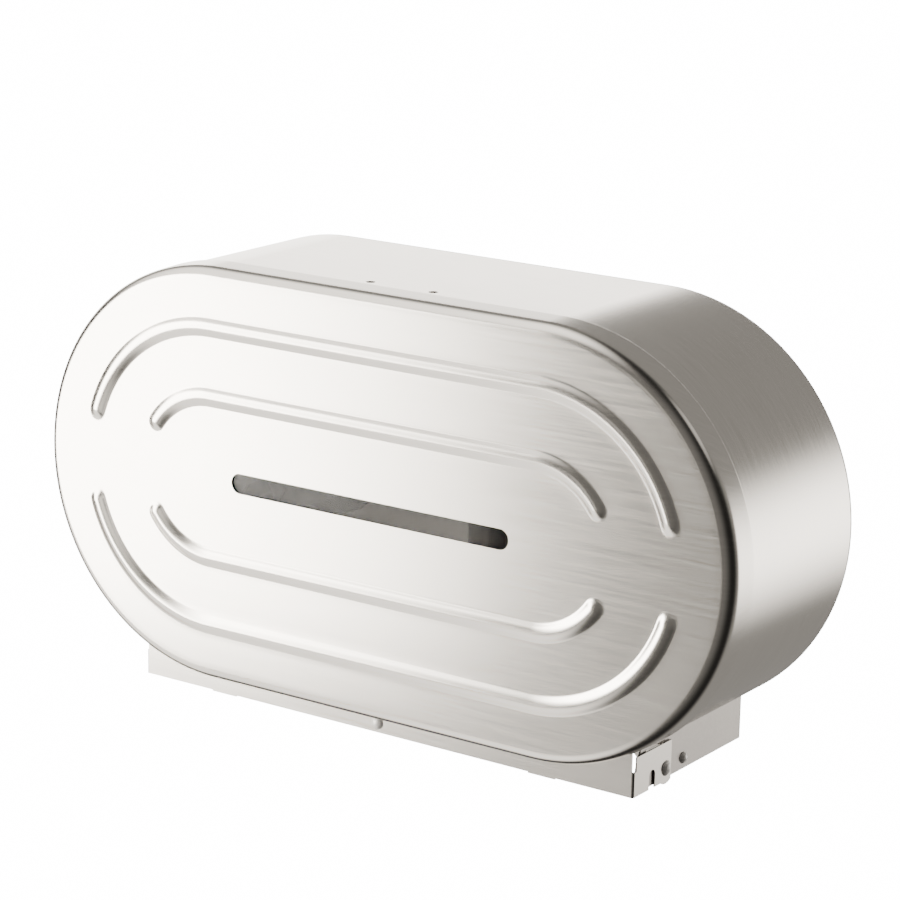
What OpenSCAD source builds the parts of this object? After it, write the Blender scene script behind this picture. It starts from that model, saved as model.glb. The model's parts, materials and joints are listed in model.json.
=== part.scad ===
// Twin jumbo toilet roll dispenser in stainless sheet.
// The wall is the plane y = 0 and the cover's face looks along -Y.
// The origin is the centre of the four wall slots, level with both roll axes.

/* [Overall] */
// Distance between the two roll axes
roll_pitch = 251; // [246:1:262]
// Outer radius of the cover's round ends
cover_r = 138.5; // [135:0.5:146]
// Depth from the wall to the cover's face
depth = 148; // [144:1:170]

/* [Sheet metal] */
// Thickness of the cover's sheet
cover_sheet = 0.9; // [0.7:0.1:1.2]
// Thickness of the band, the side plates, the apron and the brackets
case_sheet = 1; // [0.8:0.1:1.2]
// Thickness of the back plate
back_sheet = 1.2; // [1:0.1:2]

/* [Cover] */
// Depth of the cover's skirt, measured back from its face
skirt = 24.5; // [23:0.5:28]
// Outer radius of the cover's rounded front edge
edge_r = 8; // [5:0.5:10]
// Length of the skirt that laps over the band
lap = 4; // [3:0.25:4.5]
// Gap between the skirt and the band
lap_gap = 0.6; // [0.5:0.05:0.9]

/* [Raised beads] */
// Width of a bead at its foot
bead_w = 13; // [10:0.5:15]
// Distance from a bead's ridge to its shoulder
bead_shoulder = 3.6; // [3:0.1:4.5]
// Height of a bead above the face
bead_h = 2.3; // [2.1:0.1:3.2]
// Middle radius of the outer beads
outer_bead_r = 99.5; // [90:0.5:104]
// Middle radius of the inner beads
inner_bead_r = 53.7; // [46:0.5:60]
// Half of the plain gap between the facing ends of two beads
bead_gap = 24.3; // [20:0.1:28]

/* [Window] */
// Length of the window slot
slot_len = 214.4; // [180:0.1:230]
// Height of the window slot
slot_h = 13.3; // [10:0.1:16]
// Thickness of the lens behind the slot
lens_t = 2; // [1.5:0.1:3]
// How far the lens reaches past the slot on every side
lens_lap = 10; // [8:0.5:12]

/* [Lower box] */
// Width of the lower box over the cover's wings
box_w = 384; // [370:1:392]
// How far the apron's lower edge hangs below the cover
apron_show = 12.5; // [11.5:0.1:16]
// Distance of the apron behind the cover's face
apron_back = 15.6; // [13:0.1:17]
// Lowest point of a wing below the apron's lower edge
wing_dip = 1.8; // [0.5:0.1:2.5]

/* [Hinge] */
// Distance of the pivot behind the cover's face
pivot_back = 53.9; // [52:0.1:56]
// Height of the pivot above the apron's lower edge
pivot_rise = 8.5; // [8:0.1:9.5]
// Diameter of the hinge rivet's shank
pivot_d = 6; // [5:0.5:7]
// Diameter of the hinge rivet's head
pivot_head_d = 10; // [9:0.5:12]
// Distance of the stop rivet behind the pivot
stop_back = 22.8; // [22:0.1:24]
// Diameter of the stop rivet's head
stop_head_d = 8; // [7:0.5:8.5]

/* [Key latch] */
// Distance between the two key holes
key_pitch = 48; // [44:1:54]
// Diameter of a key hole
key_d = 6; // [5:0.5:7]
// Distance of the key holes behind the cover's face
key_back = 35; // [33:0.5:38]

/* [Roll spindles] */
// Diameter of an axle
axle_d = 12; // [10:0.5:14]
// Outer diameter of a roll hub
hub_d = 76; // [70:1:80]
// Length of a roll hub with its flange
hub_len = 92; // [84:1:98]
// Radial gap between a moving bore and its pin
running_gap = 0.05; // [0.03:0.01:0.08]

/* [Tear bar] */
// Height of the tear bar
tear_h = 13; // [11:0.5:15]
// Width of one tooth
tooth_w = 5; // [4:0.5:8]

/* [Wall fixing] */
// Distance between the wall slots across
wall_x = 406.4; // [380:0.1:420]
// Distance between the wall slots up and down
wall_z = 152.4; // [120:0.1:160]
// Width of a wall slot
wall_slot_w = 7; // [5:0.5:9]
// Length of a wall slot from end to end
wall_slot_len = 18; // [12:0.5:24]

/* [Hidden] */
$fn = 96;
// Overrun of a cut past the face it goes through
cut = 1;
// Clearance between flat faces that slide or turn past each other
slip = 0.1;

// Seat radii, worked inwards from the cover
skirt_in_r = cover_r - cover_sheet;
band_r = skirt_in_r - lap_gap;
band_in_r = band_r - case_sheet;
// Inward lips of the band, in front and behind
front_lip = 6;
back_lip = 10;
band_front = skirt - lap;

// Lower box, on the right-hand side
box_drop = cover_r + apron_show;
wing_out = box_w / 2;
wing_in = wing_out - case_sheet;
washer_t = 0.3;
plate_out = wing_in - washer_t - slip;
plate_in = plate_out - case_sheet;
pivot_z = pivot_rise - box_drop;
pivot_y = pivot_back - depth;
stop_y = pivot_y + stop_back;
plate_drop = box_drop - 1;
head_h = 2.4;
// The side plate's front stays inside this radius round the pivot
plate_sweep_r = pivot_back - skirt + 5;
// The bend between the apron and a wing, and the relief cut above it
bend_r = 1.5;
bend_leg = 1.5;
relief_w = 3.3;
relief_rise = 16.4;
notch_w = 7;
notch_rise = 12.2;
notch_front = 18.4;
wing_behind = 6;
wing_top_gap = 1.3;
stiffener_w = 60;
stiffener_foot = 8;
apron_rivet_rise = 6.6;
apron_rivet_d = 5;
apron_rivet_head_d = 9;
tear_bar_front = 4.5;
tear_bar_fold = 7;
tear_flange = 12;

// Share of a bead's height that its shoulder has
bead_shoulder_rise = 0.7;

// Window lens and the rails that hold it
lens_gap = 0.3;
lens_front = cover_sheet + lens_gap;
rail_t = 0.8;
rail_gap = 0.3;
rail_foot = 9;
rail_lip = 4;
lens_half_h = slot_h / 2 + lens_lap;
lens_half_len = slot_len / 2 + lens_lap;

// Latch, measured behind the cover's face and down from the band
keeper_t = 1.2;
keeper_w = 30;
keeper_z = band_in_r - 2.4;
keeper_window = [19, 6];
leaf_t = 1.2;
leaf_z = keeper_z - keeper_t - 5.2;
leaf_pad = [key_pitch + 14, 12];
leaf_root = 84;
leaf_root_len = 22;
leaf_w = 20;
bracket_t = 1.5;
catch_w = 16;
latch_notch = key_pitch / 2 + 14;

// Roll spindle, measured out from the wall
base_r = 45;
boss_r = 26;
base_t = 1.5;
boss_out = 15.5;
axle_r = axle_d / 2;
axle_washer_t = 1.5;
hub_start = boss_out + axle_washer_t + slip;
hub_end = hub_start + hub_len;
nut_start = hub_end + slip + axle_washer_t;
nut_h = 9;
hub_wall = 2.5;
hub_flange_r = 52;
hub_flange_t = 2.5;
hub_chamfer = 7;
hub_boss_r = 11;
hub_rib_t = 2.4;
hub_rib_count = 6;

channel_w = 18;
channel_out = 20;
channel_flange = 8;
channel_top = 104;

lens_color = [0.35, 0.35, 0.36, 0.75];
steel = [0.80, 0.79, 0.77];
dark_steel = [0.62, 0.62, 0.61];
plastic = [0.20, 0.20, 0.21];

// y of a point that lies a distance behind the cover's face
function behind(distance) = distance - depth;

// A flat shape in x and z, made solid between two values of y
module slab(y_low, y_high) {
    translate([0, y_high, 0])
        rotate([90, 0, 0])
            linear_extrude(y_high - y_low)
                children();
}

// A flat shape in y and z, made solid between two values of x
module cheek(x_low, x_high) {
    translate([x_low, 0, 0])
        rotate([90, 0, 90])
            linear_extrude(x_high - x_low)
                children();
}

// A half section in radius and distance from the wall, turned about a line along y
module turned() {
    rotate([90, 0, 0])
        rotate_extrude()
            children();
}

module at_roll_axis(side) {
    translate([side * roll_pitch / 2, 0, 0])
        children();
}

module stadium(r) {
    for (side = [-1, 1])
        translate([side * roll_pitch / 2, 0])
            circle(r);
    square([roll_pitch, 2 * r], center = true);
}

module slot_shape(len, h) {
    for (side = [-1, 1])
        translate([side * (len - h) / 2, 0])
            circle(d = h);
    square([len - h, h], center = true);
}

// A thin L, laid along x
module angle_strip(half_len) {
    cheek(-half_len, half_len)
        children();
}

// A domed head, with its flat face at the origin and its crown along +X
module dome(d, h) {
    ball_r = (d * d / 4 + h * h) / (2 * h);
    rotate([0, 90, 0])
        rotate_extrude()
            intersection() {
                translate([0, h - ball_r])
                    circle(ball_r);
                square([d, h]);
            }
}

// ---- Housing ----

module back_plate() {
    color(dark_steel)
        difference() {
            slab(-back_sheet, 0)
                union() {
                    stadium(band_r);
                    translate([-plate_out, -plate_drop])
                        square([2 * plate_out, plate_drop]);
                }
            for (side = [-1, 1], end = [-1, 1])
                translate([side * wall_x / 2, 0, end * wall_z / 2])
                    slab(-back_sheet - cut, cut)
                        slot_shape(wall_slot_len, wall_slot_w);
        }
}

// The band's open underside, between the side plates
module box_mouth() {
    translate([-plate_in, -2 * cover_r])
        square([2 * plate_in, 2 * cover_r]);
}

module band_ring(inner_r) {
    difference() {
        stadium(band_r);
        stadium(inner_r);
        box_mouth();
    }
}

module rim_band() {
    color(steel)
        difference() {
            union() {
                slab(behind(band_front), -back_sheet)
                    band_ring(band_in_r);
                slab(behind(band_front), behind(band_front) + case_sheet)
                    band_ring(band_in_r - front_lip);
                slab(-back_sheet - case_sheet, -back_sheet)
                    band_ring(band_in_r - back_lip);
            }
            for (side = [-1, 1])
                translate([side * key_pitch / 2, behind(key_back), band_in_r - cut])
                    cylinder(d = key_d, h = case_sheet + 2 * cut);
            translate([-latch_notch, behind(band_front) - cut, band_in_r - front_lip - cut])
                cube([2 * latch_notch, case_sheet + 2 * cut, front_lip + cut]);
        }
}

// Outline of a side plate in y and z
module side_plate_outline() {
    difference() {
        union() {
            translate([pivot_y, -plate_drop])
                square([-back_sheet - pivot_y, plate_drop]);
            intersection() {
                translate([pivot_y, pivot_z])
                    circle(plate_sweep_r);
                translate([pivot_y - plate_sweep_r, -plate_drop])
                    square([plate_sweep_r + cut, pivot_rise * 3.2]);
            }
        }
        // Clearance notch over the wing's top edge
        translate([behind(skirt + 7), wing_top_z() - 3])
            square([22, 3 + wing_top_gap]);
    }
}

// The wing's top edge lies a little below the band
function band_z_at(x) = -sqrt(pow(band_r, 2) - pow(x - roll_pitch / 2, 2));
function wing_top_z() = band_z_at(plate_out) - 3.6 - wing_top_gap;

module side_plate(side) {
    color(steel)
        mirror([side < 0 ? 1 : 0, 0, 0])
            difference() {
                union() {
                    cheek(plate_in, plate_out)
                        side_plate_outline();
                    // Rear flange on the back plate
                    translate([plate_in - 11, -back_sheet - case_sheet, -plate_drop])
                        cube([12, case_sheet, 24]);
                }
                // The plate stops at the band and the skirt that it meets
                slab(behind(band_front), cut)
                    stadium(band_r);
                slab(-depth, behind(band_front) + cut)
                    stadium(cover_r + slip);
                translate([plate_in - cut, pivot_y, pivot_z])
                    rotate([0, 90, 0])
                        cylinder(d = pivot_d, h = case_sheet + 2 * cut);
                translate([plate_in - cut, stop_y, pivot_z])
                    rotate([0, 90, 0])
                        cylinder(d = stop_head_d / 2, h = case_sheet + 2 * cut);
            }
}

module side_plate_left() {
    side_plate(-1);
}

module side_plate_right() {
    side_plate(1);
}

module centre_channel() {
    inner_w = channel_w - 2 * case_sheet;
    color(dark_steel)
        translate([0, 0, -plate_drop])
            linear_extrude(plate_drop + channel_top)
                translate([0, -back_sheet])
                    mirror([0, 1])
                        difference() {
                            union() {
                                translate([-channel_w / 2, 0])
                                    square([channel_w, channel_out]);
                                translate([-channel_w / 2 - channel_flange, 0])
                                    square([channel_w + 2 * channel_flange, case_sheet]);
                            }
                            translate([-inner_w / 2, -cut])
                                square([inner_w, channel_out - case_sheet + cut]);
                        }
}

module tear_bar() {
    half_w = plate_in;
    foot_z = -plate_drop + 1.5;
    tooth_count = floor((2 * half_w - 20) / tooth_w);
    tooth_start = -tooth_count * tooth_w / 2;
    color(steel)
        difference() {
            union() {
                slab(stop_y - tear_bar_front, stop_y - tear_bar_front + case_sheet)
                    polygon(concat(
                        [[-half_w, foot_z + tear_h], [-half_w, foot_z + tooth_w / 2]],
                        [for (i = [0 : tooth_count - 1], p = [0, 1])
                            [tooth_start + (i + p / 2) * tooth_w, foot_z + (p == 0 ? tooth_w / 2 : 0)]],
                        [[-tooth_start, foot_z + tooth_w / 2], [half_w, foot_z + tooth_w / 2],
                         [half_w, foot_z + tear_h]]
                    ));
                for (side = [-1, 1])
                    mirror([side < 0 ? 1 : 0, 0, 0])
                        translate([half_w - case_sheet, stop_y - tear_bar_front, foot_z + tooth_w / 2])
                            cube([case_sheet, tear_flange, tear_h - tooth_w / 2]);
                // Top edge folded back for stiffness
                translate([-half_w, stop_y - tear_bar_front, foot_z + tear_h - case_sheet])
                    cube([2 * half_w, tear_bar_fold, case_sheet]);
            }
            translate([-wing_out, stop_y, pivot_z])
                rotate([0, 90, 0])
                    cylinder(d = stop_head_d / 2, h = 2 * wing_out);
        }
}

// A rivet along x: domed head outside, shank, and an upset tail inside
module rivet(head_d, shank_d, head_x, tail_x) {
    tail_h = 1.2;
    dome(head_d, head_h);
    translate([tail_x - head_x, 0, 0])
        rotate([0, 90, 0])
            cylinder(d = shank_d, h = head_x - tail_x);
    translate([tail_x - head_x - tail_h, 0, 0])
        rotate([0, 90, 0])
            cylinder(d = shank_d * 1.4, h = tail_h);
}

module tear_bar_rivets() {
    color(dark_steel)
        for (side = [-1, 1])
            mirror([side < 0 ? 1 : 0, 0, 0])
                translate([plate_out, stop_y, pivot_z])
                    rivet(stop_head_d, stop_head_d / 2, plate_out, plate_in - case_sheet);
}

module hinge_rivet(side) {
    head_x = wing_out + slip;
    color(dark_steel)
        mirror([side < 0 ? 1 : 0, 0, 0])
            translate([head_x, pivot_y, pivot_z])
                rivet(pivot_head_d, pivot_d, head_x, plate_in);
}

module hinge_rivet_left() {
    hinge_rivet(-1);
}

module hinge_rivet_right() {
    hinge_rivet(1);
}

module hinge_washers() {
    color(dark_steel)
        for (side = [-1, 1])
            mirror([side < 0 ? 1 : 0, 0, 0])
                translate([plate_out, pivot_y, pivot_z])
                    rotate([0, 90, 0])
                        difference() {
                            cylinder(d = pivot_head_d + 1, h = washer_t);
                            translate([0, 0, -cut])
                                cylinder(r = pivot_d / 2 + running_gap, h = washer_t + 2 * cut);
                        }
}

// Drawn disc that stands the axle off the back plate
module spindle_base(side) {
    color(dark_steel)
        at_roll_axis(side)
            turned()
                translate([0, back_sheet])
                    difference() {
                        union() {
                            square([base_r, base_t]);
                            square([boss_r, boss_out - back_sheet]);
                        }
                        translate([-cut, -cut])
                            square([boss_r - base_t + cut, boss_out - back_sheet - base_t + cut]);
                        translate([-cut, 0])
                            square([axle_r + cut, boss_out]);
                    }
}

module spindle_base_left() {
    spindle_base(-1);
}

module spindle_base_right() {
    spindle_base(1);
}

// Steel pin with a head behind the disc and a thinner threaded end
module axle(side) {
    head_t = 3;
    color(steel)
        at_roll_axis(side)
            turned() {
                translate([0, boss_out - base_t - head_t])
                    square([axle_r + 5, head_t]);
                translate([0, boss_out - base_t])
                    square([axle_r, nut_start - boss_out + base_t]);
                translate([0, nut_start])
                    square([axle_r - 2, nut_h - 3]);
            }
}

module axle_left() {
    axle(-1);
}

module axle_right() {
    axle(1);
}

module axle_washers() {
    color(steel)
        for (side = [-1, 1], start = [boss_out, hub_end + slip])
            at_roll_axis(side)
                turned()
                    translate([axle_r + running_gap, start])
                        square([6, axle_washer_t]);
}

// Domed nut with a flat-sided foot
module axle_nut(side) {
    nut_r = axle_r + 3.5;
    color(steel)
        at_roll_axis(side)
            difference() {
                union() {
                    translate([0, -nut_start, 0])
                        rotate([90, 0, 0])
                            cylinder(r = nut_r, h = nut_h * 0.6, $fn = 6);
                    translate([0, -nut_start - nut_h * 0.6, 0])
                        rotate([0, 0, -90])
                            dome(2 * nut_r * 0.86, nut_h * 0.4);
                }
                translate([0, cut - nut_start, 0])
                    rotate([90, 0, 0])
                        cylinder(r = axle_r - 2 + running_gap, h = nut_h - 3 + slip + cut);
            }
}

module axle_nut_left() {
    axle_nut(-1);
}

module axle_nut_right() {
    axle_nut(1);
}

// ---- Key latch under the band's flat top ----

module latch_bracket() {
    color(dark_steel)
        translate([-leaf_w / 2 - 4, behind(leaf_root - 2), band_in_r - bracket_t])
            cube([leaf_w + 8, leaf_root_len + 4, bracket_t]);
}

// Leaf of spring steel: root, slanted stem, cross bar under the holes, catch
module latch_spring() {
    root_z = band_in_r - bracket_t - leaf_t;
    bar_end = key_back + leaf_pad[1] / 2 - cut / 2;
    color(steel) {
        angle_strip(leaf_w / 2)
            polygon([
                [behind(leaf_root + leaf_root_len), root_z],
                [behind(leaf_root + leaf_root_len), root_z + leaf_t],
                [behind(leaf_root), root_z + leaf_t],
                [behind(bar_end), leaf_z + leaf_t],
                [behind(bar_end), leaf_z],
                [behind(leaf_root), root_z]
            ]);
        translate([-leaf_pad[0] / 2, behind(key_back) - leaf_pad[1] / 2, leaf_z])
            cube([leaf_pad[0], leaf_pad[1], leaf_t]);
        // The catch leans back, so that the keeper rides over it
        angle_strip(catch_w / 2)
            polygon([
                [behind(key_back - 2), leaf_z + leaf_t / 2],
                [behind(key_back - 0.5), keeper_z + 1],
                [behind(key_back + 0.5), keeper_z + 1],
                [behind(key_back + 0.5), leaf_z + leaf_t / 2]
            ]);
    }
}

module latch_rivets() {
    root_z = band_in_r - bracket_t - leaf_t;
    color(dark_steel)
        for (place = [0.3, 0.75])
            translate([0, behind(leaf_root + leaf_root_len * place), root_z])
                rotate([0, 90, 0])
                    dome(6, 1.6);
}

// ---- Cover ----

// Filled half section of the cover, drawn in by a sheet thickness
module cover_section(inset) {
    intersection() {
        union() {
            square([cover_r - inset, depth - edge_r]);
            square([cover_r - edge_r, depth - inset]);
            translate([cover_r - edge_r, depth - edge_r])
                circle(edge_r - inset);
        }
        translate([0, depth - skirt - (inset > 0 ? cut : 0)])
            square([cover_r, skirt + cut]);
    }
}

module cover_solid(inset) {
    for (side = [-1, 1])
        at_roll_axis(side)
            turned()
                cover_section(inset);
    for (turn = [90, -90])
        rotate([turn - 90, 0, 0])
            mirror([0, turn < 0 ? 1 : 0, 0])
                cheek(-roll_pitch / 2, roll_pitch / 2)
                    rotate(90)
                        cover_section(inset);
}

// Section of a bead about its own path, in radius and distance from the wall.
// The inner face of the sheet is the same form set back by a sheet thickness.
module bead_section(inset) {
    foot = depth - inset - (inset > 0 ? cut : cover_sheet / 2);
    polygon([
        [-bead_w / 2, foot],
        [-bead_w / 2, depth - inset],
        [-bead_shoulder, depth + bead_h * bead_shoulder_rise - inset],
        [0, depth + bead_h - inset],
        [bead_shoulder, depth + bead_h * bead_shoulder_rise - inset],
        [bead_w / 2, depth - inset],
        [bead_w / 2, foot]
    ]);
}

// One C-shaped bead over the roll axes: two arcs, a straight and two round ends
module bead(path_r, inset) {
    end_rise = bead_gap + bead_w / 2;
    end_turn = asin(end_rise / path_r);
    for (flip = [0, 1])
        mirror([flip, 0, 0]) {
            at_roll_axis(-1)
                rotate([90, 0, 0])
                    rotate(90)
                        rotate_extrude(angle = 90 - end_turn)
                            translate([path_r, 0])
                                bead_section(inset);
            translate([-roll_pitch / 2 - path_r * cos(end_turn), 0, end_rise])
                rotate([90, 0, 0])
                    rotate(180 - end_turn)
                        rotate_extrude(angle = 180)
                            intersection() {
                                bead_section(inset);
                                square([bead_w, 2 * depth]);
                            }
        }
    translate([-roll_pitch / 2, 0, path_r])
        rotate([90, 0, 90])
            linear_extrude(roll_pitch)
                rotate(90)
                    bead_section(inset);
}

module front_panel() {
    color(steel)
        difference() {
            union() {
                difference() {
                    cover_solid(0);
                    cover_solid(cover_sheet);
                }
                for (turn = [0, 180], path_r = [outer_bead_r, inner_bead_r])
                    rotate([0, turn, 0])
                        bead(path_r, 0);
            }
            for (turn = [0, 180], path_r = [outer_bead_r, inner_bead_r])
                rotate([0, turn, 0])
                    bead(path_r, cover_sheet);
            slab(-depth - cut, behind(cover_sheet + cut))
                slot_shape(slot_len, slot_h);
        }
}

// Outline of a wing in y and z, with its open notch and round heel
module wing_outline() {
    heel_r = pivot_rise + wing_dip;
    front = behind(apron_back);
    rear = pivot_y + wing_behind;
    difference() {
        union() {
            translate([front, -box_drop])
                square([pivot_back - apron_back, relief_rise]);
            translate([front + relief_w, -box_drop])
                square([pivot_back - apron_back - relief_w, wing_top_z() + box_drop]);
            intersection() {
                translate([pivot_y, pivot_z])
                    circle(heel_r);
                translate([front, pivot_z - heel_r])
                    square([rear - front, heel_r]);
            }
            translate([pivot_y - cut, pivot_z])
                square([wing_behind + cut, wing_top_z() - pivot_z]);
        }
        translate([pivot_y - notch_front + notch_w / 2 - 1.5, -box_drop - cut]) {
            translate([-notch_w / 2, 0])
                square([notch_w, notch_rise - notch_w / 2 + cut]);
            translate([0, notch_rise - notch_w / 2 + cut])
                circle(d = notch_w);
        }
        translate([pivot_y, pivot_z])
            circle(pivot_d / 2 + running_gap);
    }
}

module apron() {
    front = behind(apron_back);
    tab_w = 20;
    tab_drop = 0.8;
    color(steel)
        difference() {
            union() {
                slab(front, front + case_sheet)
                    difference() {
                        union() {
                            translate([-wing_out + bend_r, -box_drop])
                                square([box_w - 2 * bend_r, box_drop]);
                            for (side = [-1, 1])
                                translate([side * roll_pitch / 2 - tab_w / 2, -box_drop - tab_drop])
                                    square([tab_w, tab_drop + cut]);
                        }
                        stadium(cover_r);
                    }
                for (side = [-1, 1])
                    mirror([side < 0 ? 1 : 0, 0, 0]) {
                        cheek(wing_in, wing_out)
                            difference() {
                                wing_outline();
                                translate([front - cut, -2 * box_drop])
                                    square([bend_r + cut, 2 * box_drop]);
                            }
                        // Bend from the apron to the wing
                        translate([wing_out - bend_r, front + bend_r, -box_drop])
                            linear_extrude(relief_rise) {
                                intersection() {
                                    difference() {
                                        circle(bend_r);
                                        circle(bend_r - case_sheet);
                                    }
                                    translate([0, -bend_r])
                                        square(bend_r);
                                }
                                translate([-bend_leg, -bend_r])
                                    square([bend_leg, case_sheet]);
                                translate([bend_r - case_sheet, 0])
                                    square([case_sheet, bend_leg]);
                            }
                    }
                // Flange along the skirt's underside
                translate([-roll_pitch / 2, front, -cover_r - case_sheet])
                    cube([roll_pitch, skirt - apron_back, case_sheet]);
            }
            // The plate's corners stop at the relief cut
            for (side = [-1, 1])
                translate([side * (wing_out - bend_r), front - cut, relief_rise - box_drop])
                    translate([side > 0 ? bend_r - 0.4 : -bend_r - cut + 0.4, 0, 0])
                        cube([cut, case_sheet + 2 * cut, box_drop]);
            translate([0, front - cut, -box_drop + apron_rivet_rise])
                rotate([-90, 0, 0])
                    cylinder(d = apron_rivet_d, h = case_sheet + 2 * cut);
        }
}

module apron_rivet() {
    color(dark_steel)
        translate([0, behind(apron_back), -box_drop + apron_rivet_rise])
            rotate([0, 0, -90])
                rivet(apron_rivet_head_d, apron_rivet_d, 0, -2 * case_sheet);
}

// Angle strip behind the apron's middle
module apron_stiffener() {
    front = behind(apron_back) + case_sheet;
    color(dark_steel)
        difference() {
            union() {
                translate([-stiffener_w / 2, front, -box_drop + 1])
                    cube([stiffener_w, case_sheet, box_drop - cover_r - case_sheet - 1]);
                translate([-stiffener_w / 2, front, -box_drop + 1])
                    cube([stiffener_w, stiffener_foot, case_sheet]);
            }
            translate([0, front - cut, -box_drop + apron_rivet_rise])
                rotate([-90, 0, 0])
                    cylinder(d = apron_rivet_d, h = case_sheet + 2 * cut);
        }
}

module window_lens() {
    color(lens_color)
        slab(behind(lens_front), behind(lens_front + lens_t))
            square([2 * lens_half_len, 2 * lens_half_h], center = true);
}

// Z-shaped rails, one over and one under the lens
module lens_rails() {
    seat = lens_half_h + rail_gap;
    lip_y = lens_front + lens_t + rail_gap;
    color(dark_steel)
        for (flip = [0, 1])
            mirror([0, 0, flip])
                angle_strip(lens_half_len - 4)
                    polygon([
                        [behind(cover_sheet), seat + rail_foot],
                        [behind(cover_sheet), seat],
                        [behind(lip_y), seat],
                        [behind(lip_y), seat - rail_lip],
                        [behind(lip_y + rail_t), seat - rail_lip],
                        [behind(lip_y + rail_t), seat + rail_t],
                        [behind(cover_sheet + rail_t), seat + rail_t],
                        [behind(cover_sheet + rail_t), seat + rail_foot]
                    ]);
}

// Small Z clips at the lens's ends
module lens_clips() {
    clip_w = 14;
    seat = lens_half_len + rail_gap;
    lip_y = lens_front + lens_t + rail_gap;
    color(dark_steel)
        for (flip = [0, 1])
            mirror([flip, 0, 0])
                translate([0, 0, -clip_w / 2])
                    linear_extrude(clip_w)
                        polygon([
                            [seat + rail_foot, behind(cover_sheet)],
                            [seat, behind(cover_sheet)],
                            [seat, behind(lip_y)],
                            [seat - rail_lip, behind(lip_y)],
                            [seat - rail_lip, behind(lip_y + rail_t)],
                            [seat + rail_t, behind(lip_y + rail_t)],
                            [seat + rail_t, behind(cover_sheet + rail_t)],
                            [seat + rail_foot, behind(cover_sheet + rail_t)]
                        ]);
}

// Tongue welded under the skirt, with a window for the catch
module latch_keeper() {
    pad_end = band_front - 1;
    pad_start = edge_r + 1;
    tongue_end = key_back + 10;
    color(dark_steel)
        difference() {
            angle_strip(keeper_w / 2)
                polygon([
                    [behind(pad_start), skirt_in_r],
                    [behind(pad_end), skirt_in_r],
                    [behind(pad_end), keeper_z],
                    [behind(tongue_end), keeper_z],
                    [behind(tongue_end), keeper_z - keeper_t],
                    [behind(pad_end - keeper_t), keeper_z - keeper_t],
                    [behind(pad_end - keeper_t), skirt_in_r - keeper_t],
                    [behind(pad_start), skirt_in_r - keeper_t]
                ]);
            translate([-keeper_window[0] / 2, behind(key_back) - keeper_window[1] / 2,
                       keeper_z - keeper_t - cut])
                cube([keeper_window[0], keeper_window[1], keeper_t + 2 * cut]);
        }
}

// ---- Roll spindles ----

module roll_hub(side) {
    front = hub_end;
    bore_r = axle_r + running_gap;
    outer_r = hub_d / 2;
    color(plastic)
        at_roll_axis(side) {
            turned()
                difference() {
                    union() {
                        translate([0, hub_start])
                            square([hub_flange_r, hub_flange_t]);
                        polygon([
                            [0, hub_start],
                            [outer_r, hub_start],
                            [outer_r, front - hub_chamfer],
                            [outer_r - hub_chamfer / 2, front],
                            [0, front]
                        ]);
                    }
                    polygon([
                        [hub_boss_r, hub_start + hub_flange_t],
                        [outer_r - hub_wall, hub_start + hub_flange_t],
                        [outer_r - hub_wall, front - hub_chamfer],
                        [outer_r - hub_wall - hub_chamfer / 2, front + cut],
                        [hub_boss_r, front + cut]
                    ]);
                    translate([-cut, 0])
                        square([bore_r + cut, depth]);
                }
            for (turn = [0 : 360 / hub_rib_count : 359])
                rotate([0, turn, 0])
                    translate([hub_boss_r - 0.5, -front + 14, -hub_rib_t / 2])
                        cube([outer_r - hub_wall - hub_boss_r + 1,
                              front - 14 - hub_start - hub_flange_t / 2, hub_rib_t]);
        }
}

module roll_hub_left() {
    roll_hub(-1);
}

module roll_hub_right() {
    roll_hub(1);
}

back_plate();
rim_band();
side_plate_left();
side_plate_right();
centre_channel();
tear_bar();
tear_bar_rivets();
hinge_rivet_left();
hinge_rivet_right();
hinge_washers();
spindle_base_left();
spindle_base_right();
axle_left();
axle_right();
axle_washers();
axle_nut_left();
axle_nut_right();
latch_bracket();
latch_spring();
latch_rivets();
front_panel();
apron();
apron_rivet();
apron_stiffener();
window_lens();
lens_rails();
lens_clips();
latch_keeper();
roll_hub_left();
roll_hub_right();
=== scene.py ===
"""Twin jumbo toilet roll dispenser in satin stainless sheet, dressed on its CAD frame."""

import json
import math

import bmesh
import bpy
import numpy as np
from mathutils import Matrix, Vector
from mathutils.geometry import delaunay_2d_cdt

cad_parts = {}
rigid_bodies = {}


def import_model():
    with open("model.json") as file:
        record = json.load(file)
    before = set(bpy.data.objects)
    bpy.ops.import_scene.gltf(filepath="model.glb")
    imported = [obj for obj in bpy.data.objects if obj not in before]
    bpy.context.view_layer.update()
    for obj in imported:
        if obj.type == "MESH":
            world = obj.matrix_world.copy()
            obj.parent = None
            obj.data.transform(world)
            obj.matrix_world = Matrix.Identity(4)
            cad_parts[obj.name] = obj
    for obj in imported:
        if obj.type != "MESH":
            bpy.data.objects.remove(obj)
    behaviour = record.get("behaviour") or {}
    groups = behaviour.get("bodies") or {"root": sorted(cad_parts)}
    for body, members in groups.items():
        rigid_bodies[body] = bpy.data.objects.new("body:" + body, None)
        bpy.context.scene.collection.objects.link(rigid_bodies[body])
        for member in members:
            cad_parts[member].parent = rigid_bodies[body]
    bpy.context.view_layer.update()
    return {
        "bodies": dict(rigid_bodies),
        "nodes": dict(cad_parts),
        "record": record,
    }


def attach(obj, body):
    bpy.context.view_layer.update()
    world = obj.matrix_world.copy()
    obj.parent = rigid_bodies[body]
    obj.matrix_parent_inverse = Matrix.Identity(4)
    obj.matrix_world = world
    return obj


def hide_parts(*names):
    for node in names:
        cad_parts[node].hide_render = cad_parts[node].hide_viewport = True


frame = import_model()
nodes = frame["nodes"]

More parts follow.
